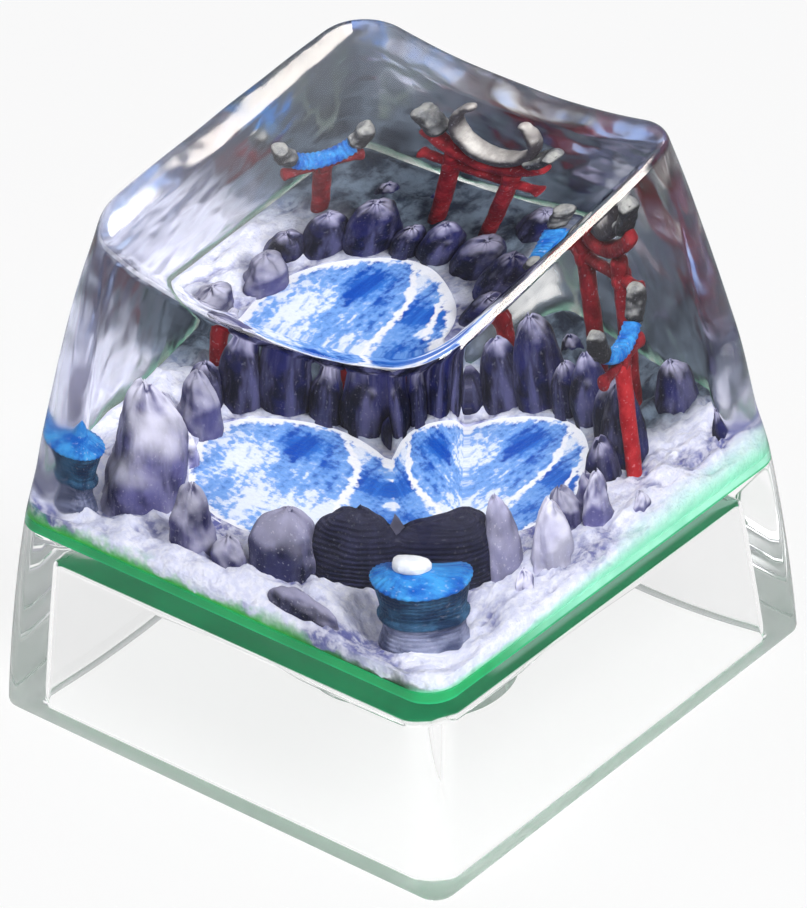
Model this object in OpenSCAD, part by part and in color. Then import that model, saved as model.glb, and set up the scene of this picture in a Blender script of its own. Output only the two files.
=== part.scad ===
// A clear cast keycap with a miniature garden set in it.
// Millimetres, +Z up. The origin is the centre of the rim that the cap rests on,
// and -Y is the front, the side nearer the typist.

/* [Outside] */
// Width and depth of the square rim
base_w = 18.1; // [17.8:0.1:18.5]
// Corner radius at the rim
base_corner_r = 0.7; // [0.5:0.1:1.2]
// Width of the top, before its corners are rounded
top_w = 13.4; // [13:0.1:14]
// Depth of the top, before its corners are rounded
top_d = 12.9; // [12.4:0.1:13.4]
// Corner radius of the top
top_corner_r = 1.7; // [1:0.1:2.4]
// How far the top's centre lies behind the rim's centre
top_shift = 0.75; // [0.4:0.05:1]
// Height of the front corners of the top
front_h = 16.6; // [16.4:0.1:17.4]
// Height of the back corners of the top
back_h = 18.6; // [18.4:0.1:19.4]
// How far the walls swell beyond a straight taper
wall_bulge = 0.45; // [0.3:0.05:0.6]
// How far the left and right edges of the top bow outwards
side_bow = 0.2; // [0:0.05:0.3]
// Depth of the finger dish, which runs from front to back
dish_depth = 0.9; // [0.5:0.05:1]
// Rounding of the edge round the dish
edge_round = 0.35; // [0.2:0.05:0.5]

/* [Layers] */
// Height of the skirt, up to the green layer
skirt_h = 6.5; // [6.3:0.1:6.7]
// Thickness of the green layer
green_t = 0.3; // [0.2:0.05:0.5]

/* [Skirt] */
// Height of the ceiling of the hollow
ceiling_z = 5.25; // [4.95:0.05:5.45]
// Thickness of the front and back walls at the rim
end_wall = 1.25; // [1.1:0.05:1.4]
// Thickness of the left and right walls at the rim
side_wall = 1.25; // [1.1:0.05:1.4]
// How much the hollow narrows on each side up to its ceiling
hollow_draft = 0.45; // [0.3:0.05:0.55]
// Corner radius of the hollow
hollow_corner_r = 0.4; // [0.3:0.1:0.8]

/* [Stem] */
// Diameter of the stem
stem_d = 5.6; // [5.4:0.05:5.8]
// How far the stem ends above the rim
stem_recess = 0.6; // [0.3:0.1:1]
// Length of both arms of the cross slot
cross_len = 4.1; // [4:0.05:4.2]
// Width of the arm of the cross slot that runs left to right
cross_w_x = 1.3; // [1.2:0.05:1.4]
// Width of the arm of the cross slot that runs front to back
cross_w_y = 1.15; // [1.05:0.05:1.3]
// Depth of the cross slot
cross_depth = 3.8; // [3.5:0.1:4]

/* [Ground] */
// Clear resin between the snow and the outer wall
bank_margin = 0.2; // [0.15:0.05:0.4]
// Thickness of the snow at its outer edge
bank_edge_t = 0.4; // [0.3:0.05:0.6]
// Thickness of the snow away from the edge
bank_t = 0.85; // [0.7:0.05:1.1]
// Height of the snow's lumps
lump_h = 0.12; // [0.05:0.01:0.2]
// Thickness of the bed of the pond
pond_bed_t = 0.3; // [0.2:0.05:0.4]
// Depth of the pond's water
water_t = 0.35; // [0.2:0.05:0.45]
// Half the width of the pond
pond_rx = 4.2; // [3.9:0.1:4.3]
// Half the depth of the pond
pond_ry = 4.1; // [3.9:0.1:4.2]

/* [Main gate] */
// Clearance between an embedded piece and the pocket cast round it
cast_gap = 0.015; // [0.01:0.005:0.03]
// Depth to which posts and pedestals stand in the snow, above the green layer
foot_h = 0.2; // [0.1:0.05:0.3]
// Distance between the axes of the main gate's posts
torii_span = 2.65; // [2.5:0.05:2.9]
// Diameter of the main gate's posts
torii_post_d = 0.7; // [0.6:0.05:0.8]
// Height of the axis of the tie beam above the green layer
torii_tie_h = 5.15; // [4.8:0.05:5.2]
// Length of the tie beam
torii_tie_len = 5.6; // [5.2:0.1:5.8]
// Height of the lintel's underside above the green layer, at its middle
torii_lintel_h = 5.65; // [5.6:0.05:5.9]
// Length of the lintel
torii_lintel_len = 5.6; // [5.2:0.1:6]
// Outer radius of the crescent moon
moon_r = 1.85; // [1.6:0.05:1.9]
// Thickness of the crescent moon from front to back
moon_t = 0.5; // [0.4:0.05:0.6]

/* [Roofed gates] */
// Diameter of the posts of the roofed gates
gate_post_d = 0.7; // [0.6:0.05:0.8]
// Height of the axis of the left gate's beam above the green layer
left_gate_h = 3.8; // [3.6:0.1:4]
// Height of the axis of the right gate's beam above the green layer
right_gate_h = 4.7; // [4.4:0.1:4.9]
// Length of the beam of a roofed gate
gate_beam_len = 2.9; // [2.6:0.1:3]
// Length of the blue roof of a roofed gate
gate_roof_len = 2.3; // [2.1:0.05:2.4]

/* [Lanterns] */
// Radius of a lantern's roof
lantern_r = 1.15; // [1:0.05:1.2]
// Height of the top of a lantern's pedestal above the green layer
pedestal_h = 1.2; // [1:0.1:1.3]
// Height of a lantern's bowl
bowl_h = 1.2; // [1:0.05:1.3]
// Height of a lantern's roof
lantern_roof_h = 0.5; // [0.4:0.05:0.6]

/* [Hidden] */

// Levels
ground_z = skirt_h + green_t;
bed_z = ground_z + pond_bed_t;
water_z = bed_z + water_t;
shore_lip = 0.08;

// Steps in a corner arc and along an edge of the outline
arc_steps = 5;
edge_steps = 6;
ring_n = 4 * (arc_steps + edge_steps);
turned_fn = 32;
arched_fn = 120;

// Where things stand, on a base as wide as garden_w. On another base they spread with its walls
garden_w = 18.1;
pond_place = [-0.7, 0.2];
torii_place = [-0.5, 6.33];
left_gate_place = [-6.45, 5];
right_gate_place = [4.8, 3.7];
left_lantern_place = [-6.75, -6.12];
front_lantern_place = [6.3, -5.95];
spread = base_w / garden_w;
pond_at = spread * pond_place;
torii_at = spread * torii_place;
left_gate_at = spread * left_gate_place;
right_gate_at = spread * right_gate_place;
left_lantern_at = spread * left_lantern_place;
front_lantern_at = spread * front_lantern_place;
left_gate_turn = 56;
right_gate_turn = -66;

// Each rock is [x, y, radius, height above the green layer, stretch, turn of the stretch,
// share of the radius near the top], which is small for a peak
back_rock_list = [
    [-5.85, 2.7, 0.7, 2, 1, 0, 0.68], [-4.9, 3.7, 0.85, 2.7, 1, 0, 0.68], [-3.45, 4.55, 1, 3.5, 1, 0, 0.6],
    [-1.85, 4.75, 0.65, 2.3, 1, 0, 0.68], [-0.5, 5.05, 0.8, 2.8, 1, 0, 0.66], [1.4, 4.95, 0.9, 2.6, 1.15, 0, 0.7],
    [3.3, 4.15, 0.95, 3.3, 1, 0, 0.6], [3.9, 2.75, 0.7, 2.2, 1, 0, 0.64],
];
rear_stone_list = [
    [2.2, 7.25, 0.8, 2.2, 1.25, -10, 0.7], [6.1, 7.3, 0.55, 1.5, 1, 0, 0.6], [-2.9, 7.4, 0.4, 1.1, 1, 0, 0.6],
    [-4.9, 6.9, 0.5, 1.3, 1, 0, 0.6],
];
left_boulder_list = [
    [-4.6, -4.5, 1.4, 4.6, 1, 0, 0.38], [-5.9, -2.5, 0.9, 2.7, 1, 0, 0.5], [-5.8, -0.9, 0.8, 2.4, 1, 0, 0.6],
    [-5.2, 1.05, 0.8, 2.5, 1, 0, 0.64], [-4.6, -1.2, 0.5, 1.6, 1, 0, 0.6], [-2, -6.2, 0.85, 2.7, 1, 0, 0.45],
    [-0.4, -6.35, 0.6, 1.6, 1.2, 0, 0.64],
];
front_boulder_list = [
    [1.6, -4.9, 1, 2.8, 1.4, 0, 0.62], [3.3, -3.4, 1, 2.9, 1.3, 35, 0.7], [4.75, -2.5, 0.8, 3.2, 1, 0, 0.5],
    [2.9, -7.15, 0.45, 1.2, 2.6, 0, 0.68],
];
right_rock_list = [
    [6.3, -1.1, 0.95, 2.7, 1, 0, 0.5], [5.1, 0.2, 0.75, 2.2, 1, 0, 0.6], [6.1, 1.2, 0.65, 2.4, 1, 0, 0.5],
    [4.75, 1.5, 0.55, 1.9, 1, 0, 0.64], [6.9, -2.8, 0.5, 1.3, 1, 0, 0.6], [7.1, 2.6, 0.45, 1.2, 1, 0, 0.6],
];

function lerp(a, b, t) = a + (b - a) * t;
function unit(a) = [cos(a), sin(a)];

// The corner point at step k of quarter q, and the outward direction there
function corner_dir(q, k) = unit(90 * (q + k / arc_steps));

// A rounded rectangle, anticlockwise from the back end of the right edge, with steps along each edge
function outline(w, d, r, shift = 0, steps = edge_steps) = [
    for (q = [0:3])
        let (
            centre = [(q == 0 || q == 3 ? 1 : -1) * (w / 2 - r), shift + (q < 2 ? 1 : -1) * (d / 2 - r)],
            run = (q % 2 == 0 ? w : d) - 2 * r
        )
        each concat(
            [for (k = [0:arc_steps - 1]) centre + r * corner_dir(q, k)],
            [for (k = [0:steps - 1]) centre + r * unit(90 * (q + 1)) + run * k / steps * unit(90 * (q + 2))]
        )
];

// Outward direction at each point of an outline
out_dir = [
    for (q = [0:3])
        each concat(
            [for (k = [0:arc_steps - 1]) corner_dir(q, k)],
            [for (k = [0:edge_steps - 1]) unit(90 * (q + 1))]
        )
];

// Places of the walls at a height: each tapers from the rim to the top and swells between
mid_h = (front_h + back_h) / 2;
top_front = top_shift - top_d / 2;
top_back = top_shift + top_d / 2;
function swell(share) = 4 * share * (1 - share) * wall_bulge;
function side_x(z) = lerp(base_w, top_w, z / mid_h) / 2 + swell(z / mid_h);
function front_y(z) = lerp(-base_w / 2, top_front, z / front_h) - swell(z / front_h);
function back_y(z) = lerp(base_w / 2, top_back, z / back_h) + swell(z / back_h);

// The bow of the left and right walls, which begins above the ground of the garden
function bowed(p, z) =
    let (
        rise = max(0, z - ground_z) / (mid_h - ground_z),
        along = (p[1] - top_shift) / (base_w / 2),
        side = p[0] / side_x(z)
    )
    [p[0] + side_bow * rise * side * (1 - along * along), p[1]];

// The outer outline at a height, moved inwards by gap, and without the bow for the lower body
function straight_plan(z, gap, steps) =
    outline(
        2 * (side_x(z) - gap), back_y(z) - front_y(z) - 2 * gap,
        lerp(base_corner_r, top_corner_r, z / mid_h) - gap / 2, (back_y(z) + front_y(z)) / 2, steps
    );
function wall_plan(z) = [for (p = straight_plan(z, 0, edge_steps)) bowed(p, z)];
bank_edge = straight_plan(ground_z, bank_margin, edge_steps);

// Height of the dished top over a point
function dish(p) =
    lerp(front_h, back_h, (p[1] - top_front) / top_d) - dish_depth * (1 - pow(2 * p[0] / top_w, 2));

// Height of the top's edge at each point of the outline
first_edge_z = [for (p = wall_plan(mid_h)) dish(p)];
edge_z = [for (i = [0:ring_n - 1]) dish(wall_plan(first_edge_z[i])[i])];

// A closed solid through rings of equal length, lowest or outermost ring first
module loft(rings) {
    n = len(rings[0]);
    last = len(rings) - 1;
    polyhedron(
        points = [for (r = rings) each r],
        faces = concat(
            [[for (i = [0:n - 1]) i]],
            [[for (i = [n - 1:-1:0]) last * n + i]],
            [
                for (k = [0:last - 1], i = [0:n - 1])
                    let (a = k * n + i, b = k * n + (i + 1) % n)
                    each [[a, a + n, b], [b, a + n, b + n]]
            ]
        )
    );
}

// A closed solid through rings whose edges are parallel, so that its sides are flat panels
module panelled(rings) {
    n = len(rings[0]);
    last = len(rings) - 1;
    polyhedron(
        points = [for (r = rings) each r],
        faces = concat(
            [[for (i = [0:n - 1]) i]],
            [[for (i = [n - 1:-1:0]) last * n + i]],
            [
                for (k = [0:last - 1], i = [0:n - 1])
                    let (a = k * n + i, b = k * n + (i + 1) % n)
                    [a, a + n, b + n, b]
            ]
        )
    );
}

// A slice of the outer body between two level heights
module body_slice(z_low, z_high, steps) {
    panelled([
        for (k = [0:steps])
            let (z = lerp(z_low, z_high, k / steps))
            [for (p = straight_plan(z, 0, 1)) [p[0], p[1], z]]
    ]);
}

// The top of the body: the wall up from a level height, the rounded edge and the dish
module body_top(z_low) {
    wall_steps = 5;
    edge_rings = 4;
    dish_rings = 6;
    centre = [0, top_shift];
    function wall_at(i, z) = let (p = wall_plan(z)[i]) [p[0], p[1], z];
    low = [for (i = [0:ring_n - 1]) wall_at(i, edge_z[i] - edge_round)];
    apex = [for (i = [0:ring_n - 1]) wall_at(i, edge_z[i])];
    rim = [for (i = [0:ring_n - 1]) [apex[i][0], apex[i][1]] - edge_round * out_dir[i]];
    loft(concat(
        [
            for (k = [0:wall_steps])
                [for (i = [0:ring_n - 1]) wall_at(i, lerp(z_low, low[i][2], k / wall_steps))]
        ],
        [
            for (k = [1:edge_rings])
                let (t = k / edge_rings)
                [
                    for (i = [0:ring_n - 1])
                        let (high = [rim[i][0], rim[i][1], dish(rim[i])])
                        lerp(lerp(low[i], apex[i], t), lerp(apex[i], high, t), t)
                ]
        ],
        [
            for (share = [for (k = [1:dish_rings - 1]) k / dish_rings, 0.97])
                [
                    for (p = rim)
                        let (q = lerp(p, centre, share))
                        [q[0], q[1], dish(q)]
                ]
        ]
    ));
}

// The shore, one point for each point of the outline
shore = [
    for (p = bank_edge)
        let (
            a = atan2(p[1] - pond_at[1], p[0] - pond_at[0]),
            wave = 1 + 0.03 * sin(3 * a + 40) + 0.02 * sin(5 * a)
        )
        pond_at + wave * [pond_rx * cos(a), pond_ry * sin(a)]
];

function lump(p) = lump_h * (sin(140 * p[0] + 60 * p[1]) + sin(170 * p[1] - 50 * p[0]));

// The snow's ground without the pockets of what stands in it, with a basin down to basin_z
module bank_body(basin_z) {
    slope_rings = 6;
    loft(concat(
        [for (h = [0, bank_edge_t / 2]) [for (p = bank_edge) [p[0], p[1], ground_z + h]]],
        [
            for (k = [0:slope_rings])
                let (f = lerp(0.03, 1, k / slope_rings))
                [
                    for (i = [0:ring_n - 1])
                        let (
                            q = lerp(bank_edge[i], shore[i], f),
                            rise = lerp(bank_edge_t, bank_t, sin(180 * min(1, f))),
                            inland = lerp(rise, water_z + shore_lip - ground_z, f * f)
                        )
                        [q[0], q[1], ground_z + inland + (f > 0.1 && f < 0.9 ? lump(q) : 0)]
                ]
        ],
        [[for (p = shore) [p[0], p[1], basin_z]]]
    ));
}

module pond_body() {
    translate([0, 0, bed_z]) linear_extrude(water_t) polygon(shore);
}

// A rough boulder or peak that stands in the snow
module rock(place, seed) {
    sides = 6;
    r = spread * place[2];
    h = place[3] - foot_h;
    tip = place[6];
    levels = [[0, 0.9], [0.4, 0.32 + tip], [0.78, tip]];
    jig = rands(0.85, 1.1, len(levels) * sides, seed);
    phase = rands(0, 60, 1, seed)[0];
    ring_points = [
        for (k = [0:len(levels) - 1], i = [0:sides - 1])
            let (a = phase + 360 / sides * (i + k / 2), q = r * levels[k][1] * jig[k * sides + i])
            [place[4] * q * cos(a), q * sin(a), h * levels[k][0]]
    ];
    points = concat(ring_points, [[0.15 * r * cos(phase), 0.15 * r * sin(phase), h]]);
    translate([spread * place[0], spread * place[1], ground_z + foot_h]) rotate(place[5])
        hull() polyhedron(points, [[for (i = [0:len(points) - 1]) i]]);
}
module rocks(list, seed) {
    for (i = [0:len(list) - 1]) rock(list[i], seed + i);
}
module back_rock_group() { rocks(back_rock_list, 11); }
module rear_stone_group() { rocks(rear_stone_list, 31); }
module left_boulder_group() { rocks(left_boulder_list, 51); }
module front_boulder_group() { rocks(front_boulder_list, 71); }
module right_rock_group() { rocks(right_rock_list, 91); }
module all_rocks() {
    back_rock_group();
    rear_stone_group();
    left_boulder_group();
    front_boulder_group();
    right_rock_group();
}

// A bar that curves up towards its ends, centred on X, with its underside at z = 0 in the middle.
// from and to are the distances of its ends from the middle, on both sides.
module arched_bar(curve_r, t, depth, from, to, g = 0) {
    intersection() {
        translate([0, 0, curve_r]) rotate([90, 0, 0]) difference() {
            cylinder(r = curve_r + g, h = depth + 2 * g, center = true, $fn = arched_fn);
            cylinder(r = curve_r - t - g, h = depth + 1, center = true, $fn = arched_fn);
        }
        for (side = from > 0 ? [-1, 1] : [0])
            translate([side * (from + to) / 2, 0, curve_r / 4])
                cube([(from > 0 ? to - from : 2 * to) + 2 * g, depth + 1, curve_r], center = true);
    }
}

// The main gate
lintel_curve_r = 4;
lintel_t = 0.5;
lintel_depth = 0.6;
tie_d = 0.42;
ridge_t = 0.5;
ridge_depth = 0.85;
ridge_inner = 2;
ridge_overhang = 0.3;
moon_bite_r_share = 0.84;
moon_bite_up_share = 0.22;
moon_sink = 0.06;
moon_side = 0.2;
module at_torii(h = 0) { translate([torii_at[0], torii_at[1], ground_z + h]) children(); }
module lintel_bar(g = 0) {
    at_torii(torii_lintel_h) arched_bar(lintel_curve_r, lintel_t, lintel_depth, 0, torii_lintel_len / 2, g);
}
module tie_bar(g = 0) {
    at_torii(torii_tie_h) rotate([0, 90, 0])
        cylinder(d = tie_d + 2 * g, h = torii_tie_len + 2 * g, center = true, $fn = turned_fn);
}
module torii_post_pair(g = 0) {
    difference() {
        for (side = [-1, 1]) at_torii(foot_h - g) translate([side * torii_span / 2, 0, 0])
            cylinder(d = torii_post_d + 2 * g, h = torii_lintel_h + lintel_t - foot_h, $fn = turned_fn);
        at_torii(torii_lintel_h + lintel_curve_r) rotate([90, 0, 0])
            cylinder(r = lintel_curve_r, h = 2 * torii_post_d, center = true, $fn = arched_fn);
    }
}
module ridge_bars(g = 0) {
    at_torii(torii_lintel_h + lintel_t)
        arched_bar(lintel_curve_r - lintel_t, ridge_t, ridge_depth, ridge_inner,
            torii_lintel_len / 2 + ridge_overhang, g);
}
module moon_body(g = 0) {
    at_torii(torii_lintel_h + lintel_t - moon_sink + moon_r) translate([moon_side, 0, 0])
        rotate([90, 0, 0]) difference() {
            cylinder(r = moon_r + g, h = moon_t + 2 * g, center = true, $fn = 2 * turned_fn);
            translate([0, moon_bite_up_share * moon_r, 0])
                cylinder(r = moon_bite_r_share * moon_r - g, h = moon_t + 1, center = true, $fn = 2 * turned_fn);
        }
}

// A gate with one post and a blue roof. Each is [place, turn, height of the beam's axis]
left_gate = [left_gate_at, left_gate_turn, left_gate_h];
right_gate = [right_gate_at, right_gate_turn, right_gate_h];
gate_beam_d = 0.42;
gate_curve_r = 1.7;
gate_roof_t = 0.42;
gate_roof_depth = 0.6;
gate_cap_len = 0.4;
gate_cap_extra = 0.12;
gate_roof_sink = 0.06;
module at_gate(gate, h = 0) { translate([gate[0][0], gate[0][1], ground_z + h]) rotate(gate[1]) children(); }
module gate_beam(gate, g = 0) {
    at_gate(gate, gate[2]) rotate([0, 90, 0])
        cylinder(d = gate_beam_d + 2 * g, h = gate_beam_len + 2 * g, center = true, $fn = turned_fn);
}
module gate_post(gate, g = 0) {
    at_gate(gate, foot_h - g) cylinder(d = gate_post_d + 2 * g, h = gate[2] - foot_h + 2 * g, $fn = turned_fn);
}
module gate_roof(gate, g = 0) {
    at_gate(gate, gate[2] + gate_beam_d / 2 - gate_roof_sink)
        arched_bar(gate_curve_r, gate_roof_t, gate_roof_depth, 0, gate_roof_len / 2, g);
}
module gate_caps(gate, g = 0) {
    at_gate(gate, gate[2] + gate_beam_d / 2 - gate_roof_sink)
        arched_bar(gate_curve_r, gate_roof_t + gate_cap_extra, gate_roof_depth + gate_cap_extra,
            gate_roof_len / 2, gate_roof_len / 2 + gate_cap_len, g);
}

// A stone lantern from the ground up
pedestal_foot_r = 0.85;
pedestal_waist_r = 0.68;
bowl_low_r = 0.78;
bowl_high_r = 1.02;
finial_r = 0.34;
finial_h = 0.42;
module at_lantern(place) { translate([place[0], place[1], ground_z]) children(); }
module pedestal(g = 0) {
    rotate_extrude($fn = turned_fn) polygon([
        [0, foot_h - g], [pedestal_foot_r + g, foot_h - g], [pedestal_waist_r + g, lerp(foot_h, pedestal_h, 0.65)],
        [bowl_low_r + g, pedestal_h], [0, pedestal_h],
    ]);
}
module bowl(g = 0) {
    translate([0, 0, pedestal_h]) rotate_extrude($fn = turned_fn) polygon([
        [0, 0], [bowl_low_r + 0.1 + g, 0], [bowl_low_r + g, 0.15 * bowl_h],
        [bowl_high_r + g, bowl_h], [0, bowl_h],
    ]);
}
module lantern_roof(g = 0) {
    translate([0, 0, pedestal_h + bowl_h]) rotate_extrude($fn = turned_fn) polygon([
        [0, 0], [lantern_r + g, 0], [lantern_r + g, 0.2 * lantern_roof_h],
        [finial_r + g, lantern_roof_h], [0, lantern_roof_h],
    ]);
}
module finial(g = 0) {
    translate([0, 0, pedestal_h + bowl_h + lantern_roof_h]) rotate_extrude($fn = turned_fn) polygon([
        [0, 0], [finial_r + g, 0], [finial_r + g, 0.6 * finial_h], [finial_r / 2, finial_h + g], [0, finial_h + g],
    ]);
}

// Everything that stands in the snow, and everything above it, for the pockets
module standing(g) {
    torii_post_pair(g);
    gate_post(left_gate, g);
    gate_post(right_gate, g);
    at_lantern(left_lantern_at) pedestal(g);
    at_lantern(front_lantern_at) pedestal(g);
}
module overhead(g) {
    tie_bar(g);
    lintel_bar(g);
    ridge_bars(g);
    moon_body(g);
    for (gate = [left_gate, right_gate]) {
        gate_beam(gate, g);
        gate_roof(gate, g);
        gate_caps(gate, g);
    }
    for (place = [left_lantern_at, front_lantern_at]) at_lantern(place) {
        bowl(g);
        lantern_roof(g);
        finial(g);
    }
}

// The hollow of the skirt, which narrows upwards and has round corners, round the stem
module stem_body() {
    translate([0, 0, stem_recess]) cylinder(d = stem_d, h = ceiling_z, $fn = 2 * turned_fn);
}
module hollow() {
    below_rim = -1;
    panelled([
        for (z = [below_rim, ceiling_z])
            let (narrowing = hollow_draft * z / ceiling_z)
            [
                for (p = outline(base_w - 2 * (side_wall + narrowing), base_w - 2 * (end_wall + narrowing),
                    hollow_corner_r, 0, 1))
                    [p[0], p[1], z]
            ]
    ]);
}

module crown() {
    color([0.9, 0.95, 0.97, 0.35]) difference() {
        body_top(ground_z);
        bank_body(water_z);
        all_rocks();
        standing(cast_gap);
        overhead(cast_gap);
    }
}
module green_layer() { color([0.05, 0.6, 0.35]) body_slice(skirt_h, ground_z, 1); }
module skirt() {
    color([0.92, 0.96, 0.95, 0.35]) difference() {
        body_slice(0, skirt_h, 4);
        difference() {
            hollow();
            stem_body();
        }
        translate([0, 0, stem_recess]) {
            cube([cross_len, cross_w_x, 2 * cross_depth], center = true);
            cube([cross_w_y, cross_len, 2 * cross_depth], center = true);
        }
    }
}
module snow_bank() {
    color([0.93, 0.93, 0.98]) difference() {
        bank_body(bed_z);
        all_rocks();
        standing(cast_gap);
    }
}
module pond_water() {
    color([0.2, 0.42, 0.85]) difference() {
        pond_body();
        all_rocks();
    }
}
module back_rocks() { color([0.3, 0.27, 0.42]) back_rock_group(); }
module rear_stones() { color([0.4, 0.38, 0.5]) rear_stone_group(); }
module left_boulders() { color([0.45, 0.43, 0.6]) left_boulder_group(); }
module front_boulders() { color([0.2, 0.2, 0.36]) front_boulder_group(); }
module right_rocks() { color([0.66, 0.64, 0.78]) right_rock_group(); }
module torii_posts() {
    color([0.5, 0.09, 0.1]) difference() {
        torii_post_pair();
        tie_bar();
    }
}
module torii_tie_beam() { color([0.5, 0.09, 0.1]) tie_bar(); }
module torii_lintel() { color([0.5, 0.09, 0.1]) lintel_bar(); }
module torii_ridge_caps() { color([0.55, 0.55, 0.55]) ridge_bars(); }
module crescent_moon() {
    color([0.75, 0.74, 0.72]) difference() {
        moon_body();
        at_torii(torii_lintel_h + lintel_curve_r) rotate([90, 0, 0]) difference() {
            cylinder(r = lintel_curve_r + 1, h = 2, center = true, $fn = arched_fn);
            cylinder(r = lintel_curve_r - lintel_t, h = 3, center = true, $fn = arched_fn);
        }
    }
}
module post_of(gate) {
    color([0.6, 0.1, 0.1]) difference() {
        gate_post(gate);
        gate_beam(gate);
    }
}
module beam_of(gate) { color([0.55, 0.1, 0.12]) gate_beam(gate); }
module roof_of(gate) {
    color([0.1, 0.4, 0.75]) difference() {
        gate_roof(gate);
        gate_beam(gate);
    }
}
module caps_of(gate) {
    color([0.6, 0.6, 0.6]) difference() {
        gate_caps(gate);
        gate_beam(gate);
    }
}
module pedestal_of(place) { color([0.35, 0.38, 0.48]) at_lantern(place) pedestal(); }
module bowl_of(place) { color([0.15, 0.22, 0.35]) at_lantern(place) bowl(); }
module lantern_roof_of(place) { color([0.15, 0.5, 0.8]) at_lantern(place) lantern_roof(); }
module finial_of(place) { color([0.9, 0.9, 0.92]) at_lantern(place) finial(); }

crown();
green_layer();
skirt();
snow_bank();
pond_water();
back_rocks();
rear_stones();
left_boulders();
front_boulders();
right_rocks();
torii_posts();
torii_tie_beam();
torii_lintel();
torii_ridge_caps();
crescent_moon();
post_of(left_gate);  // left_gate_post
beam_of(left_gate);  // left_gate_beam
roof_of(left_gate);  // left_gate_roof
caps_of(left_gate);  // left_gate_caps
post_of(right_gate);  // right_gate_post
beam_of(right_gate);  // right_gate_beam
roof_of(right_gate);  // right_gate_roof
caps_of(right_gate);  // right_gate_caps
pedestal_of(left_lantern_at);  // left_lantern_pedestal
bowl_of(left_lantern_at);  // left_lantern_bowl
lantern_roof_of(left_lantern_at);  // left_lantern_roof
finial_of(left_lantern_at);  // left_lantern_finial
pedestal_of(front_lantern_at);  // front_lantern_pedestal
bowl_of(front_lantern_at);  // front_lantern_bowl
lantern_roof_of(front_lantern_at);  // front_lantern_roof
finial_of(front_lantern_at);  // front_lantern_finial
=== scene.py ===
"""A clear cast keycap with a miniature garden set in it, on a white studio floor."""

import math

import bmesh
import bpy
from mathutils import Matrix, Vector
from mathutils import noise as random_noise


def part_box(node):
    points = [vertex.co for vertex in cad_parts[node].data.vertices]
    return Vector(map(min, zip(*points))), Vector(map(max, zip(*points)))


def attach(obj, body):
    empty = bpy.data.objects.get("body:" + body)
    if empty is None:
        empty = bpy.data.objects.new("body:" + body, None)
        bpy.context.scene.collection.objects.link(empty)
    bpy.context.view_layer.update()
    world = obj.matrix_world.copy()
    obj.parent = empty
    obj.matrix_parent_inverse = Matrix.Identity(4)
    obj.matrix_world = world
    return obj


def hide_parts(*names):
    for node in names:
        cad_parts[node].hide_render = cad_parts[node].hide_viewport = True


MM = 0.001

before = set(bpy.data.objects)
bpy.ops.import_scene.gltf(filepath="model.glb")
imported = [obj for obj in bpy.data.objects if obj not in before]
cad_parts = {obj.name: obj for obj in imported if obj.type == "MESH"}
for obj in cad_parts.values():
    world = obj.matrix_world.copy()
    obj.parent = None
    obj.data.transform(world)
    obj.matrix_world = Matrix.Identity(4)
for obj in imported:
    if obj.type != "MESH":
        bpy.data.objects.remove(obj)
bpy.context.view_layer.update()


# Sizes of the cap in millimetres, as the solids have them
def span(name, axis):
    """Lowest and highest place of a node along an axis, in millimetres."""
    low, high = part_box(name)
    return low[axis] / MM, high[axis] / MM


BASE_W = span("skirt", 0)[1] - span("skirt", 0)[0]
GREEN_LOW, GREEN_HIGH = span("green_layer", 2)
BASE_CORNER_R = 0.7
TOP_W = 13.4
TOP_D = 12.9
TOP_CORNER_R = 1.7
TOP_SHIFT = 0.75
FRONT_H = 16.6
BACK_H = 18.6
MID_H = (FRONT_H + BACK_H) / 2
WALL_BULGE = 0.45
SIDE_BOW = 0.2
DISH_DEPTH = 0.9
EDGE_ROUND = 0.35
WAVE_DEPTH = 0.07
CEILING_Z = 5.25
END_WALL = 1.25
SIDE_WALL = 1.25
HOLLOW_DRAFT = 0.45
HOLLOW_CORNER_R = 0.4
STEM_D = 5.6
STEM_RECESS = 0.6
CROSS_LEN = 4.1
CROSS_W_X = 1.3
CROSS_W_Y = 1.15
CROSS_DEPTH = 3.8

# Steps round a corner and along an edge of every ring of the body
ARC_STEPS = 14
EDGE_STEPS = 44
RING_N = 4 * (ARC_STEPS + EDGE_STEPS)


def lerp(a, b, t):
    return a + (b - a) * t


def unit(degrees):
    return Vector((math.cos(math.radians(degrees)), math.sin(math.radians(degrees))))


def outline_point(i, w, d, r, shift=0.0):
    """Point i of a rounded rectangle, anticlockwise from the back end of the right edge."""
    q, k = divmod(i, ARC_STEPS + EDGE_STEPS)
    centre = Vector(((1 if q in (0, 3) else -1) * (w / 2 - r), shift + (1 if q < 2 else -1) * (d / 2 - r)))
    if k < ARC_STEPS:
        return centre + r * unit(90 * (q + k / ARC_STEPS))
    run = (w if q % 2 == 0 else d) - 2 * r
    along = (k - ARC_STEPS) / EDGE_STEPS
    return centre + r * unit(90 * (q + 1)) + run * along * unit(90 * (q + 2))


def out_dir(i):
    """Outward direction at point i of an outline."""
    q, k = divmod(i, ARC_STEPS + EDGE_STEPS)
    return unit(90 * (q + min(1, k / ARC_STEPS)))


def swell(share):
    return 4 * share * (1 - share) * WALL_BULGE


def far_wave(p, z):
    """Inward unevenness of the hand-cast left and back walls, which mirror the garden."""
    left = max(0.0, min(1.0, (-p.x - 4.6) / 1.5))
    back = max(0.0, min(1.0, (p.y - 4.8) / 1.5))
    inside = max(0.0, min(1.0, (z - GREEN_HIGH) / 1.5))
    q = Vector((p.x, p.y, z))
    broad = random_noise.noise(q * 0.4 + Vector((3.1, 0.7, 5.2)))
    return inside * max(left, back) * WAVE_DEPTH * (1 + broad)


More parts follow.
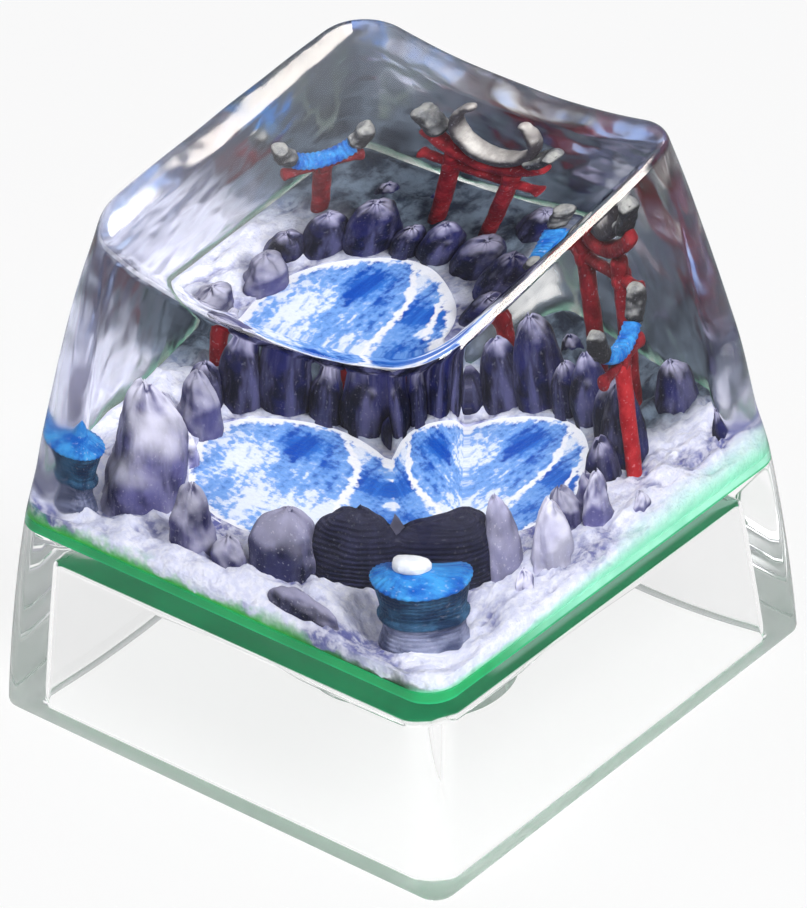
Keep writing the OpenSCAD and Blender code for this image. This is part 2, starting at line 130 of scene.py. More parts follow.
def wall_point(i, z, gap=0.0):
    """Point i of the outer wall at a height, moved inwards by gap."""
    side = lerp(BASE_W, TOP_W, z / MID_H) / 2 + swell(z / MID_H)
    front = lerp(-BASE_W / 2, TOP_SHIFT - TOP_D / 2, z / FRONT_H) - swell(z / FRONT_H)
    back = lerp(BASE_W / 2, TOP_SHIFT + TOP_D / 2, z / BACK_H) + swell(z / BACK_H)
    radius = lerp(BASE_CORNER_R, TOP_CORNER_R, z / MID_H) - gap / 2
    p = outline_point(i, 2 * (side - gap), back - front - 2 * gap, radius, (back + front) / 2)
    rise = max(0.0, z - GREEN_HIGH) / (MID_H - GREEN_HIGH)
    along = (p.y - TOP_SHIFT) / (BASE_W / 2)
    p.x += SIDE_BOW * rise * (p.x / side) * (1 - along * along)
    return p - far_wave(p, z) * out_dir(i)


def dish(p):
    """Height of the dished top over a point."""
    slope = lerp(FRONT_H, BACK_H, (p.y - TOP_SHIFT + TOP_D / 2) / TOP_D)
    return slope - DISH_DEPTH * (1 - (2 * p.x / TOP_W) ** 2)


def wall_at(z, gap=0.0):
    """Puts the points of a ring on the outer wall at a height, moved inwards by gap."""
    def place(i):
        p = wall_point(i, z, gap)
        return Vector((p.x, p.y, z))
    return place


# Building of meshes ring by ring
def edges_between(made, verts):
    """The edges that an operator made between the given points."""
    return [e for e in made if isinstance(e, bmesh.types.BMEdge) and all(v in verts for v in e.verts)]


def next_ring(bm, edges, place):
    """Extrudes a ring of edges and puts the new ring's points, in order, where place says."""
    made = bmesh.ops.extrude_edge_only(bm, edges=edges)["geom"]
    new_verts = [v for v in made if isinstance(v, bmesh.types.BMVert)]
    index = bm.verts.layers.int["index"]
    for v in new_verts:
        v.co = place(v[index])
    return edges_between(made, new_verts)


def first_ring(bm, count, place):
    """A closed ring of edges whose points carry their number."""
    index = bm.verts.layers.int.get("index") or bm.verts.layers.int.new("index")
    made = bmesh.ops.create_circle(bm, segments=count, radius=1.0)["verts"]
    made.sort(key=lambda v: math.atan2(-v.co.x, -v.co.y))
    for number, v in enumerate(made):
        v[index] = number
        v.co = place(number)
    order = set(made)
    return [e for e in bm.edges if e.verts[0] in order and e.verts[1] in order]


def finish_mesh(bm, name, sharp_degrees):
    """Scales a mesh to metres, smooths it but for its sharp edges, and makes it an object on the body."""
    bmesh.ops.recalc_face_normals(bm, faces=bm.faces)
    bmesh.ops.scale(bm, vec=(MM, MM, MM), verts=bm.verts)
    limit = math.radians(sharp_degrees)
    for face in bm.faces:
        face.smooth = True
    for edge in bm.edges:
        edge.smooth = not (edge.is_manifold and edge.calc_face_angle() > limit)
    mesh = bpy.data.meshes.new(name)
    bm.to_mesh(mesh)
    bm.free()
    piece = bpy.data.objects.new(name, mesh)
    bpy.context.scene.collection.objects.link(piece)
    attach(piece, "root")
    return piece


# Materials
def srgb(red, green, blue):
    """Colour from values of 0 to 255."""
    def linear(v):
        v /= 255
        return v / 12.92 if v <= 0.04045 else ((v + 0.055) / 1.055) ** 2.4
    return (linear(red), linear(green), linear(blue), 1.0)


def link(tree, source, target):
    tree.links.new(source, target)


def new_material(name):
    material = bpy.data.materials.new(name)
    material.use_nodes = True
    tree = material.node_tree
    return material, tree, tree.nodes["Principled BSDF"]


def dress(piece, material):
    """Gives every slot of a piece the same material."""
    if not piece.data.materials:
        piece.data.materials.append(material)
    for number in range(len(piece.data.materials)):
        piece.data.materials[number] = material


def stand_in(bm, name, node, material, sharp_degrees=60.0):
    """Makes the mesh the piece that is seen in place of a node."""
    piece = finish_mesh(bm, name, sharp_degrees)
    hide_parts(node)
    dress(piece, material)


def new_effect(name, inputs, output):
    """A shader group with named inputs, each (name, kind, value), and one named output (name, kind)."""
    tree = bpy.data.node_groups.new(name, "ShaderNodeTree")
    for label, kind, value in inputs:
        socket = tree.interface.new_socket(label, in_out="INPUT", socket_type="NodeSocket" + kind)
        socket.default_value = value
    tree.interface.new_socket(output[0], in_out="OUTPUT", socket_type="NodeSocket" + output[1])
    return tree, tree.nodes.new("NodeGroupInput").outputs, tree.nodes.new("NodeGroupOutput").inputs


def put(tree, socket, value):
    """Sets a socket to a value or links it."""
    if isinstance(value, bpy.types.NodeSocket):
        link(tree, value, socket)
    else:
        socket.default_value = value


def use(tree, effect, **values):
    """Places an effect in a material with the material's own values."""
    node = tree.nodes.new("ShaderNodeGroup")
    node.node_tree = effect
    for label, value in values.items():
        put(tree, node.inputs[label.capitalize()], value)
    return node.outputs[0]


def step_up(tree, value, low, high):
    """0 below low and 1 above high, with a smooth change between."""
    node = tree.nodes.new("ShaderNodeMapRange")
    node.interpolation_type = "SMOOTHSTEP"
    put(tree, node.inputs["Value"], value)
    put(tree, node.inputs["From Min"], low)
    put(tree, node.inputs["From Max"], high)
    return node.outputs["Result"]


def blend(tree, share, first, second):
    """Mixes two colours, each a colour or a socket, by a socket."""
    node = tree.nodes.new("ShaderNodeMix")
    node.data_type = "RGBA"
    put(tree, node.inputs["Factor"], share)
    put(tree, node.inputs["A"], first)
    put(tree, node.inputs["B"], second)
    return node.outputs["Result"]


def math_node(tree, operation, first, second):
    node = tree.nodes.new("ShaderNodeMath")
    node.operation = operation
    put(tree, node.inputs[0], first)
    put(tree, node.inputs[1], second)
    return node.outputs[0]


def times(tree, first, second):
    return math_node(tree, "MULTIPLY", first, second)


def plus(tree, first, second):
    return math_node(tree, "ADD", first, second)


def most(tree, first, second):
    return math_node(tree, "MAXIMUM", first, second)


def mark(tree, name):
    """A number that the mesh carries at its points."""
    node = tree.nodes.new("ShaderNodeAttribute")
    node.attribute_name = name
    return node.outputs["Fac"]


def places(tree):
    """The object's own X, Y and Z in metres."""
    place = tree.nodes.new("ShaderNodeTexCoord")
    split = tree.nodes.new("ShaderNodeSeparateXYZ")
    link(tree, place.outputs["Object"], split.inputs[0])
    return split.outputs["X"], split.outputs["Y"], split.outputs["Z"]


def noise_of(tree, spots, detail, stretch=(1.0, 1.0, 1.0), roughness=0.6):
    place = tree.nodes.new("ShaderNodeTexCoord")
    mapping = tree.nodes.new("ShaderNodeMapping")
    texture = tree.nodes.new("ShaderNodeTexNoise")
    link(tree, place.outputs["Object"], mapping.inputs["Vector"])
    put(tree, mapping.inputs["Scale"], stretch)
    link(tree, mapping.outputs["Vector"], texture.inputs["Vector"])
    put(tree, texture.inputs["Scale"], spots)
    put(tree, texture.inputs["Detail"], detail)
    texture.inputs["Roughness"].default_value = roughness
    return texture.outputs["Fac"]


def make_mottle():
    """Soft spots: their number per metre, their detail and stretch, and the values that become 0 and 1."""
    tree, given, out = new_effect("mottle", [
        ("Spots", "Float", 500.0), ("Detail", "Float", 3.0), ("Stretch", "Vector", (1.0, 1.0, 1.0)),
        ("Low", "Float", 0.4), ("High", "Float", 0.6)], ("Mask", "Float"))
    value = noise_of(tree, given["Spots"], given["Detail"], given["Stretch"])
    link(tree, step_up(tree, value, given["Low"], given["High"]), out["Mask"])
    return tree


def make_light_from_above():
    """A mask for painted light and painted shade: 1 where the surface looks up, 0 where it is steep."""
    tree, given, out = new_effect("light_from_above", [
        ("Low", "Float", 0.0), ("High", "Float", 1.0)], ("Mask", "Float"))
    geometry = tree.nodes.new("ShaderNodeNewGeometry")
    split = tree.nodes.new("ShaderNodeSeparateXYZ")
    link(tree, geometry.outputs["Normal"], split.inputs[0])
    link(tree, step_up(tree, split.outputs["Z"], given["Low"], given["High"]), out["Mask"])
    return tree


def make_relief():
    """Relief of rough grain and of printed layers, with its depth in metres."""
    tree, given, out = new_effect("relief", [
        ("Spots", "Float", 3000.0), ("Depth", "Float", 0.0001), ("Pitch", "Float", 0.00016),
        ("Lines", "Float", 0.0)], ("Normal", "Vector"))
    place = tree.nodes.new("ShaderNodeTexCoord")
    wave = tree.nodes.new("ShaderNodeTexWave")
    wave.bands_direction = "Z"
    wave.inputs["Distortion"].default_value = 0.6
    link(tree, place.outputs["Object"], wave.inputs["Vector"])
    link(tree, math_node(tree, "DIVIDE", 0.314, given["Pitch"]), wave.inputs["Scale"])
    lines = times(tree, wave.outputs["Fac"], given["Lines"])
    height = plus(tree, noise_of(tree, given["Spots"], 4.0), lines)
    node = tree.nodes.new("ShaderNodeBump")
    link(tree, given["Depth"], node.inputs["Distance"])
    link(tree, height, node.inputs["Height"])
    link(tree, node.outputs["Normal"], out["Normal"])
    return tree


def make_grains():
    """A colour strewn with fine pale grains."""
    tree, given, out = new_effect("grains", [
        ("Colour", "Color", (0.5, 0.5, 0.5, 1.0)), ("Amount", "Float", 0.3),
        ("Spots", "Float", 9000.0)], ("Colour", "Color"))
    grain = srgb(232, 230, 244)
    spots = step_up(tree, noise_of(tree, given["Spots"], 1.0), 0.62, 0.76)
    share = times(tree, spots, given["Amount"])
    link(tree, blend(tree, share, given["Colour"], grain), out["Colour"])
    return tree


MOTTLE = make_mottle()
LIGHT_FROM_ABOVE = make_light_from_above()
RELIEF = make_relief()
GRAINS = make_grains()
# What is cast in resin shines less than it does in air
CAST_IN_SHEEN = 0.1
GREEN_TOP = GREEN_HIGH * MM


def finish_cast_in(tree, shader, colour, roughness, relief):
    """Gives a shader the colour and the finish of a piece that is cast in the resin."""
    link(tree, colour, shader.inputs["Base Color"])
    shader.inputs["Roughness"].default_value = roughness
    shader.inputs["Specular IOR Level"].default_value = CAST_IN_SHEEN
    link(tree, relief, shader.inputs["Normal"])


def painted_stone(name, dark, middle, pale, low, high, lit_top_share, amount=0.2):
    """Brushed paint on a printed stone, with painted shade on its sides and painted light where it looks up.
    The mesh's own mark makes a stone darker, up to 1 where it shows its printed layers, or paler below 0;
    besides the stone's own paint, that mark holds painted shade where it darkens and painted light where it
    pales."""
    material, tree, shader = new_material(name)
    shade = mark(tree, "shade")
    darker = most(tree, shade, 0.0)
    paler = most(tree, times(tree, shade, -1.0), 0.0)
    patches = use(tree, MOTTLE, spots=620.0, detail=3.0, low=0.4, high=0.62)
    streaks = use(tree, MOTTLE, spots=1500.0, stretch=(1.0, 1.0, 0.22), low=0.42, high=0.7)
    side = blend(tree, most(tree, patches, streaks), dark, middle)
    # The mark darkens or pales the whole stone: partly its own paint, partly painted shade and painted light
    side = blend(tree, times(tree, darker, 0.8), side, dark)
    side = blend(tree, times(tree, paler, 0.6), side, pale)
    # Painted light: paler where the surface looks up, while the steep sides keep the darker colour as painted
    # shade
    top = plus(tree, use(tree, LIGHT_FROM_ABOVE, low=low, high=high), times(tree, streaks, 0.16))
    top = times(tree, top, math_node(tree, "SUBTRACT", lit_top_share, times(tree, darker, 0.86)))
    colour = blend(tree, math_node(tree, "MINIMUM", top, 1.0), side, pale)
    grains = math_node(tree, "SUBTRACT", amount, times(tree, darker, 0.8 * amount))
    colour = use(tree, GRAINS, colour=colour, amount=grains)
    relief = use(tree, RELIEF, spots=2600.0, depth=0.07 * MM, lines=step_up(tree, darker, 0.8, 0.95))
    finish_cast_in(tree, shader, colour, 0.55, relief)
    return material


def snow_paste():
    """White ground with a fine stipple, painted shade in lavender on its hollows and in grey over its back
    part, its outer foot stained green, the stain on the front darkening to the right as painted shade and the
    stain on the right pale mint as painted light shining through. The mesh's own mark is higher on its lumps."""
    material, tree, shader = new_material("snow_paste")
    x, y, z = places(tree)
    drift_and_hollow_shade = use(tree, MOTTLE, spots=430.0, detail=4.0, low=0.3, high=0.66)
    # Painted shade: lavender where the ground lies low between its lumps, white on the lumps, mixed with
    # random drifts
    drift_and_hollow_shade = plus(tree, times(tree, drift_and_hollow_shade, 0.5), times(tree, mark(tree, "rise"), 0.6))
    fine = use(tree, MOTTLE, spots=3200.0, detail=2.0, low=0.38, high=0.66)
    colour = blend(tree, step_up(tree, drift_and_hollow_shade, 0.2, 0.75), srgb(98, 102, 160), srgb(218, 221, 243))
    colour = blend(tree, times(tree, fine, 0.5), colour, srgb(250, 250, 255))
    patches = use(tree, MOTTLE, spots=800.0, detail=4.0, low=0.36, high=0.62)
    # Painted shade: grey over the back part of the ground
    grey = blend(tree, patches, srgb(34, 42, 58), srgb(104, 118, 134))
    shade_behind = times(tree, step_up(tree, y, 2.0 * MM, 6.0 * MM), step_up(tree, x, 5.0 * MM, 2.5 * MM))
    colour = blend(tree, shade_behind, colour, grey)
    blobs = use(tree, MOTTLE, spots=900.0, detail=3.0, low=0.3, high=0.7)
    reach = plus(tree, GREEN_TOP, times(tree, blobs, 0.75 * MM))
    left_foot = times(tree, step_up(tree, z, reach, GREEN_TOP), step_up(tree, y, -7.4 * MM, -7.9 * MM))
    # A real green stain on the front foot, darkened towards the right as painted shade
    green_stain_and_shade = blend(tree, step_up(tree, x, 1.0 * MM, 7.0 * MM), srgb(72, 184, 84), srgb(40, 76, 48))
    colour = blend(tree, left_foot, colour, green_stain_and_shade)
    # Painted light: the right foot's green stain in pale mint, as if light shone through the green
    growth = times(tree, step_up(tree, y, -4.0 * MM, 5.0 * MM), 0.8 * MM)
    reach = plus(tree, plus(tree, GREEN_TOP + 0.1 * MM, growth), times(tree, blobs, 0.25 * MM))
    right_foot_stain_and_glow = times(tree, step_up(tree, z, reach, GREEN_TOP), step_up(tree, x, 7.2 * MM, 8.0 * MM))
    colour = blend(tree, right_foot_stain_and_glow, colour, srgb(150, 222, 194))
    finish_cast_in(tree, shader, colour, 0.85, use(tree, RELIEF, spots=3400.0, depth=0.13 * MM))
    return material


def pond_paint():
    """Blue brush strokes with stippled white, white veins and a white fringe, by the mesh's own marks."""
    material, tree, shader = new_material("pond_paint")
    stipple = use(tree, MOTTLE, spots=4200.0, detail=2.0, low=0.3, high=0.7)
    strokes = use(tree, MOTTLE, spots=1700.0, detail=3.0, stretch=(1.0, 0.22, 1.0), low=0.3, high=0.7)
    stipple = times(tree, stipple, 0.34)
    pale = plus(tree, mark(tree, "pale"), stipple)
    pale = plus(tree, pale, times(tree, strokes, 0.35))
    water = blend(tree, strokes, srgb(16, 74, 176), srgb(52, 122, 214))
    water = blend(tree, step_up(tree, pale, 0.55, 1.0), water, srgb(116, 164, 232))
    water = blend(tree, step_up(tree, pale, 1.0, 1.35), water, srgb(226, 234, 250))
    foam = plus(tree, mark(tree, "foam"), stipple)
    colour = blend(tree, step_up(tree, foam, 0.52, 0.86), water, srgb(242, 244, 252))
    finish_cast_in(tree, shader, colour, 0.4, use(tree, RELIEF, spots=5200.0, depth=0.05 * MM))
    return material


def paint(name, colour, worn, roughness=0.5, depth=0.05, lines=0.0, shadow=None, amount=0.15):
    """Paint on a printed piece, uneven, with a little relief. If it has a shadow colour, that colour is
    painted shade on its steep sides."""
    material, tree, shader = new_material(name)
    base = blend(tree, use(tree, MOTTLE, spots=1700.0, detail=4.0, low=0.36, high=0.68), colour, worn)
    if shadow:
        # Painted shade: the shadow colour on the steep sides, the paint itself on what looks up
        base = blend(tree, use(tree, LIGHT_FROM_ABOVE, low=0.1, high=0.8), shadow, base)
    base = use(tree, GRAINS, colour=base, amount=amount, spots=8000.0)
    relief = use(tree, RELIEF, spots=5000.0, depth=depth * MM, lines=lines, pitch=0.14 * MM)
    finish_cast_in(tree, shader, base, roughness, relief)
    return material


def clear_resin():
    """Clear resin that lamps shine through without caustics. Above the green layer its left and back walls
    are uneven and a little milky, and its rim is sanded."""
    material, tree, shader = new_material("clear_resin")
    x, y, z = places(tree)
    far = most(tree, step_up(tree, x, -5.6 * MM, -6.6 * MM), step_up(tree, y, 5.8 * MM, 6.8 * MM))
    far = times(tree, far, step_up(tree, z, GREEN_TOP - 0.5 * MM, GREEN_TOP + 1.0 * MM))
    milky = times(tree, far, 0.26)
    sanded = times(tree, step_up(tree, z, 0.06 * MM, 0.01 * MM), 0.5)
    link(tree, most(tree, milky, sanded), shader.inputs["Roughness"])
    swirls = tree.nodes.new("ShaderNodeBump")
    swirls.inputs["Distance"].default_value = 0.5 * MM
    link(tree, times(tree, noise_of(tree, 420.0, 1.5), far), swirls.inputs["Height"])
    link(tree, swirls.outputs["Normal"], shader.inputs["Normal"])
    shader.inputs["Base Color"].default_value = (1.0, 1.0, 1.0, 1.0)
    shader.inputs["IOR"].default_value = 1.5
    shader.inputs["Transmission Weight"].default_value = 1.0
    through = tree.nodes.new("ShaderNodeBsdfTransparent")
    path = tree.nodes.new("ShaderNodeLightPath")
    mix = tree.nodes.new("ShaderNodeMixShader")
    link(tree, path.outputs["Is Shadow Ray"], mix.inputs[0])
    link(tree, shader.outputs["BSDF"], mix.inputs[1])
    link(tree, through.outputs["BSDF"], mix.inputs[2])
    link(tree, mix.outputs[0], tree.nodes["Material Output"].inputs["Surface"])
    return material


def green_resin():
    """Emerald, clouded, with painted light in mint along the right and far edges, as if shining through the
    thin resin, and painted light, paler still, under the back right part, which the rim mirrors.
    """
    material, tree, shader = new_material("green_resin")
    x, y, z = places(tree)
    cloud = use(tree, MOTTLE, spots=380.0, detail=3.0, low=0.35, high=0.65)
    colour = blend(tree, cloud, srgb(0, 150, 88), srgb(14, 168, 98))
    under = blend(tree, cloud, srgb(0, 166, 106), srgb(10, 186, 120))
    # Painted light: pale mint on the right and far edges, as if light shone through the thin green
    mint = blend(tree, cloud, srgb(140, 218, 188), srgb(168, 232, 208))
    right_edge = times(tree, step_up(tree, x, 7.8 * MM, 8.1 * MM), step_up(tree, y, -6.0 * MM, -1.0 * MM))
    far_edge = most(tree, step_up(tree, y, 7.6 * MM, 8.0 * MM), step_up(tree, x, -7.8 * MM, -8.2 * MM))
    above = step_up(tree, z, (GREEN_LOW + 0.04) * MM, (GREEN_LOW + 0.08) * MM)
    edges = times(tree, most(tree, right_edge, far_edge), above)
    below = math_node(tree, "SUBTRACT", 1.0, above)
    # Painted light: the underside paler at the back right, as if lit through from the white floor
    from_right = step_up(tree, x, 5.3 * MM, 4.7 * MM)
    from_front = step_up(tree, y, -3.8 * MM, -3.0 * MM)
    underside_painted_light = times(tree, times(tree, from_right, from_front), below)
    colour = blend(tree, below, colour, under)
    colour = blend(tree, edges, colour, mint)
    middle = blend(tree, step_up(tree, x, 2.6 * MM, 3.4 * MM), srgb(230, 247, 239), srgb(176, 238, 212))
    colour = blend(tree, underside_painted_light, colour, middle)
    link(tree, colour, shader.inputs["Base Color"])
    shader.inputs["Roughness"].default_value = 0.35
    return material


# The clear body
def make_body():
    """The outer wall with its rounded edge and dish, then the hollow, the stem and the slot of the cross."""
    wall_steps = 64
    edge_rings = 8
    dish_rings = 36
    foot_round = 0.15
    bm = bmesh.new()
    edge_z = []
    for i in range(RING_N):
        guess = dish(wall_point(i, MID_H))
        edge_z.append(dish(wall_point(i, guess)))

    low = [wall_at(edge_z[i] - EDGE_ROUND)(i) for i in range(RING_N)]
    apex = [wall_at(edge_z[i])(i) for i in range(RING_N)]
    rim = [apex[i].xy - EDGE_ROUND * out_dir(i) for i in range(RING_N)]
    start = first_ring(bm, RING_N, wall_at(0.0, foot_round))
    ring = start
    for k in range(1, 4):
        a = math.radians(30 * k)
        ring = next_ring(bm, ring, wall_at(foot_round * (1 - math.cos(a)), foot_round * (1 - math.sin(a))))
    for k in range(1, wall_steps + 1):
        ring = next_ring(bm, ring, lambda i: wall_at(lerp(foot_round, low[i].z, k / wall_steps))(i))
    for k in range(1, edge_rings + 1):
        t = k / edge_rings

        def rounded(i):
            high = Vector((rim[i].x, rim[i].y, dish(rim[i])))
            return low[i].lerp(apex[i], t).lerp(apex[i].lerp(high, t), t)
        ring = next_ring(bm, ring, rounded)
    centre = Vector((0.0, TOP_SHIFT))
    for k in range(1, dish_rings):

        def dished(i):
            p = rim[i].lerp(centre, k / dish_rings)
            return Vector((p.x, p.y, dish(p)))
        ring = next_ring(bm, ring, dished)
    fan = bmesh.ops.contextual_create(bm, geom=ring)["faces"]
    hub = bmesh.ops.poke(bm, faces=fan)["verts"][0]
    hub.co = Vector((centre.x, centre.y, dish(centre)))

    # From the rim inwards
    ceiling_round = 0.2

    def hollow_at(z, grow=0.0):
        out = grow - HOLLOW_DRAFT * z / CEILING_Z

        def place(i):
            w = BASE_W - 2 * SIDE_WALL + 2 * out
            d = BASE_W - 2 * END_WALL + 2 * out
            return Vector((*outline_point(i, w, d, HOLLOW_CORNER_R + max(0.0, grow)), z))
        return place

    def stem_at(z, r):
        return lambda i: Vector((*(hollow_at(0.0)(i).xy.normalized() * r), z))

    ring = next_ring(bm, start, hollow_at(0.0, foot_round))
    for k in range(1, 4):
        a = math.radians(30 * k)
        ring = next_ring(bm, ring, hollow_at(foot_round * (1 - math.cos(a)), foot_round * (1 - math.sin(a))))
    ring = next_ring(bm, ring, hollow_at(CEILING_Z - ceiling_round))
    for k in range(1, 5):
        a = math.radians(22.5 * k)
        z = CEILING_Z - ceiling_round * (1 - math.sin(a))
        ring = next_ring(bm, ring, hollow_at(z, -ceiling_round * (1 - math.cos(a))))
    for k in range(5):
        a = math.radians(22.5 * k)
        r = STEM_D / 2 + ceiling_round * (1 - math.sin(a))
        ring = next_ring(bm, ring, stem_at(CEILING_Z - ceiling_round * (1 - math.cos(a)), r))
    ring = next_ring(bm, ring, stem_at(STEM_RECESS, STEM_D / 2))
    bm.verts.ensure_lookup_table()
    corners = []
    half_len = CROSS_LEN / 2
    half_x = CROSS_W_X / 2
    half_y = CROSS_W_Y / 2
    for sx, sy in ((1, 1), (-1, 1), (-1, -1), (1, -1)):
        quarter = [(half_len, half_x), (half_y, half_x), (half_y, half_len)]
        if sx * sy < 0:
            quarter.reverse()
        corners += [bm.verts.new((sx * x, sy * y, STEM_RECESS)) for x, y in quarter]
    slot = [bm.edges.new((corners[k - 1], corners[k])) for k in range(len(corners))]
    bmesh.ops.bridge_loops(bm, edges=ring + slot)
    made = bmesh.ops.extrude_edge_only(bm, edges=slot)["geom"]
    deep = [v for v in made if isinstance(v, bmesh.types.BMVert)]
    for v in deep:
        v.co.z = STEM_RECESS + CROSS_DEPTH
    bmesh.ops.contextual_create(bm, geom=edges_between(made, deep))
    piece = finish_mesh(bm, "clear_body", 30.0)
    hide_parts("crown", "skirt")
    dress(piece, clear_resin())


def make_green_layer():
    """The green layer, a hair inside the clear wall."""
    gap = 0.04
    bm = bmesh.new()
    low = first_ring(bm, RING_N, wall_at(GREEN_LOW, gap))
    high = next_ring(bm, low, wall_at(GREEN_HIGH, gap))
    bmesh.ops.contextual_create(bm, geom=low)
    bmesh.ops.contextual_create(bm, geom=high)
    stand_in(bm, "green_pour", "green_layer", green_resin(), 30.0)


# The garden. Places are in millimetres, heights from the green layer up
GROUND_Z = GREEN_HIGH
POND_AT = Vector((-0.7, 0.2))
POND_RX = 4.2
POND_RY = 4.1
WATER_Z = GROUND_Z + 0.65
EDGE_T = 0.4
BANK_T = 0.85
SHORE_LIP = 0.73
LEFT_LANTERN_AT = (-6.75, -6.12)
FRONT_LANTERN_AT = (6.3, -5.95)


def shore_point(direction):
    """The shore in a direction, given in degrees."""
    wave = 1 + 0.03 * math.sin(math.radians(3 * direction + 40))
    wave += 0.02 * math.sin(math.radians(5 * direction))
    a = math.radians(direction)
    return POND_AT + wave * Vector((POND_RX * math.cos(a), POND_RY * math.sin(a)))


def direction_of(p):
    return math.degrees(math.atan2(p.y - POND_AT.y, p.x - POND_AT.x))


def fractal(p, per_mm, seed=0.0, octaves=4):
    """Smooth random value of about -1 to 1 at a point in millimetres."""
    q = Vector((p[0], p[1], p[2] if len(p) > 2 else 0.0)) * per_mm
    return random_noise.fractal(q + Vector((seed, 1.7 * seed, -0.6 * seed)), 0.9, 2.1, octaves)


def skin(bm, count, rings):
    """A closed body of rings from end to end. Each ring is a function from a point's number to its place."""
    first = first_ring(bm, count, rings[0])
    ring = first
    for place in rings[1:]:
        ring = next_ring(bm, ring, place)
    for loop in (first, ring):
        faces = bmesh.ops.contextual_create(bm, geom=loop)["faces"]
        bmesh.ops.poke(bm, faces=faces)


def roughen(bm, depth, per_mm, seed):
    """Moves every point along its normal by a random depth."""
    bm.normal_update()
    for v in bm.verts:
        v.co += v.normal * depth * fractal(v.co, per_mm, seed, 3)


def make_snow():
    """The bank of snow with its lumps, from the cap's wall to the shore of the pond."""
    margin = 0.14
    thinnest = 0.15
    rings = 40
    bm = bmesh.new()
    edge = [wall_point(i, GROUND_Z, margin) for i in range(RING_N)]
    shore = [shore_point(direction_of(p)) for p in edge]

    def lumps(q):
        return 0.28 * fractal(q, 0.5, 3.0, 3) + 0.24 * fractal(q, 1.4, 9.0, 3)

    def dimple(q):
        nearest = min((q - Vector(place)).length for place in (LEFT_LANTERN_AT, FRONT_LANTERN_AT))
        return 0.4 * min(1.0, 2 * max(0.0, 1 - nearest / 2.4))

    def level(z):
        return lambda i: Vector((*edge[i], z))
    first = first_ring(bm, RING_N, level(GROUND_Z))
    ring = next_ring(bm, first, level(GROUND_Z + EDGE_T / 2))
    for k in range(rings + 1):
        f = lerp(0.01, 1.0, k / rings)

        def bank(i):
            q = edge[i].lerp(shore[i], f)
            rise = lerp(EDGE_T, BANK_T, math.sin(math.pi * min(1.0, f)) ** 0.6)
            rise = lerp(rise, SHORE_LIP, f * f)
            fade = min(1.0, 9 * f) * min(1.0, 5 * (1 - f) + 0.2)
            return Vector((*q, GROUND_Z + max(thinnest, rise + lumps(q) * fade - dimple(q) * fade)))
        ring = next_ring(bm, ring, bank)
    ring = next_ring(bm, ring, lambda i: Vector((*shore[i], GROUND_Z + 0.05)))
    bmesh.ops.contextual_create(bm, geom=first)
    bmesh.ops.contextual_create(bm, geom=ring)
    rise = bm.verts.layers.float.new("rise")
    for v in bm.verts:
        v[rise] = 0.5 + 2.2 * lumps(v.co.xy)
    stand_in(bm, "snow_ground", "snow_bank", snow_paste())


def near_line(p, points):
    """Distance from a point to a line through points."""
    best = 99.0
    for a, b in zip(points, points[1:]):
        a, b = Vector(a), Vector(b)
        t = max(0.0, min(1.0, (p - a).dot(b - a) / (b - a).length_squared))
        best = min(best, (p - a.lerp(b, t)).length)
    return best


# White veins, each half a width and its points
VEINS = [
    (0.17, [(-0.85, 4.3), (0.07, 3.18), (0.51, 2.3), (0.78, 1.15), (0.89, 0.17), (1.17, -0.4), (1.3, -1.6),
            (1.05, -3.6)]),
    (0.13, [(0.97, 4.5), (1.7, 3.2), (2.4, 1.82), (2.8, 1.0)]),
    (0.2, [(-0.2, 4.1), (1.05, 3.84), (2.03, 3.47)]),
]
# Deep patches, each a centre, a radius and a strength, which is below 0 for a pale one
PATCHES = [
    ((-1.7, 2.6), 1.3, 0.95), ((1.6, 1.9), 1.2, 0.9), ((2.5, 2.3), 1.0, 0.7), ((2.3, 0.2), 1.2, 0.5),
    ((1.0, -1.4), 1.6, -0.5), ((-0.3, 2.0), 0.8, 0.3), ((-3.4, 0.4), 2.1, -0.6), ((-1.4, -1.6), 2.2, -0.6),
    ((0.4, -0.3), 1.2, -0.4), ((2.6, 1.3), 0.35, -1.2), ((0.1, 3.6), 0.6, -0.5),
]


def make_pond():
    """The water, whose points carry how much foam lies on them and how pale they are."""
    rings = 64
    bm = bmesh.new()
    shore = [shore_point(360 * i / RING_N + 0.5) for i in range(RING_N)]
    low = first_ring(bm, RING_N, lambda i: Vector((*(POND_AT.lerp(shore[i], 0.999)), WATER_Z - 0.34)))
    ring = low
    for k in range(rings):
        f = 1.03 * (1 - k / rings)
        ring = next_ring(bm, ring, lambda i: Vector((*POND_AT.lerp(shore[i], f), WATER_Z)))
    fan = bmesh.ops.contextual_create(bm, geom=ring)["faces"]
    bmesh.ops.poke(bm, faces=fan)
    bmesh.ops.contextual_create(bm, geom=low)
    foam = bm.verts.layers.float.new("foam")
    pale = bm.verts.layers.float.new("pale")
    for v in bm.verts:
        p = v.co.xy
        share = (p - POND_AT).length / (shore_point(direction_of(p)) - POND_AT).length
        wander = Vector((fractal(p, 0.9, 4.0, 3), fractal(p, 0.9, 8.0, 3)))
        bent = p + 0.22 * wander
        fringe = (share - 0.86) / 0.14 + 0.35 * fractal(p, 1.3, 2.0, 3)
        veins = max(1.15 - near_line(bent, points) / (1.7 * width) for width, points in VEINS)
        v[foam] = max(0.0, min(1.2, max(fringe, veins * (0.85 + 0.4 * fractal(p, 2.5, 6.0, 2)))))
        depth = 0.0
        for centre, radius, strength in PATCHES:
            depth += strength * max(0.0, 1 - (bent - Vector(centre)).length / radius)
        v[pale] = 0.64 - 0.75 * depth + 0.16 * wander.x
    stand_in(bm, "pond_surface", "pond_water", pond_paint())


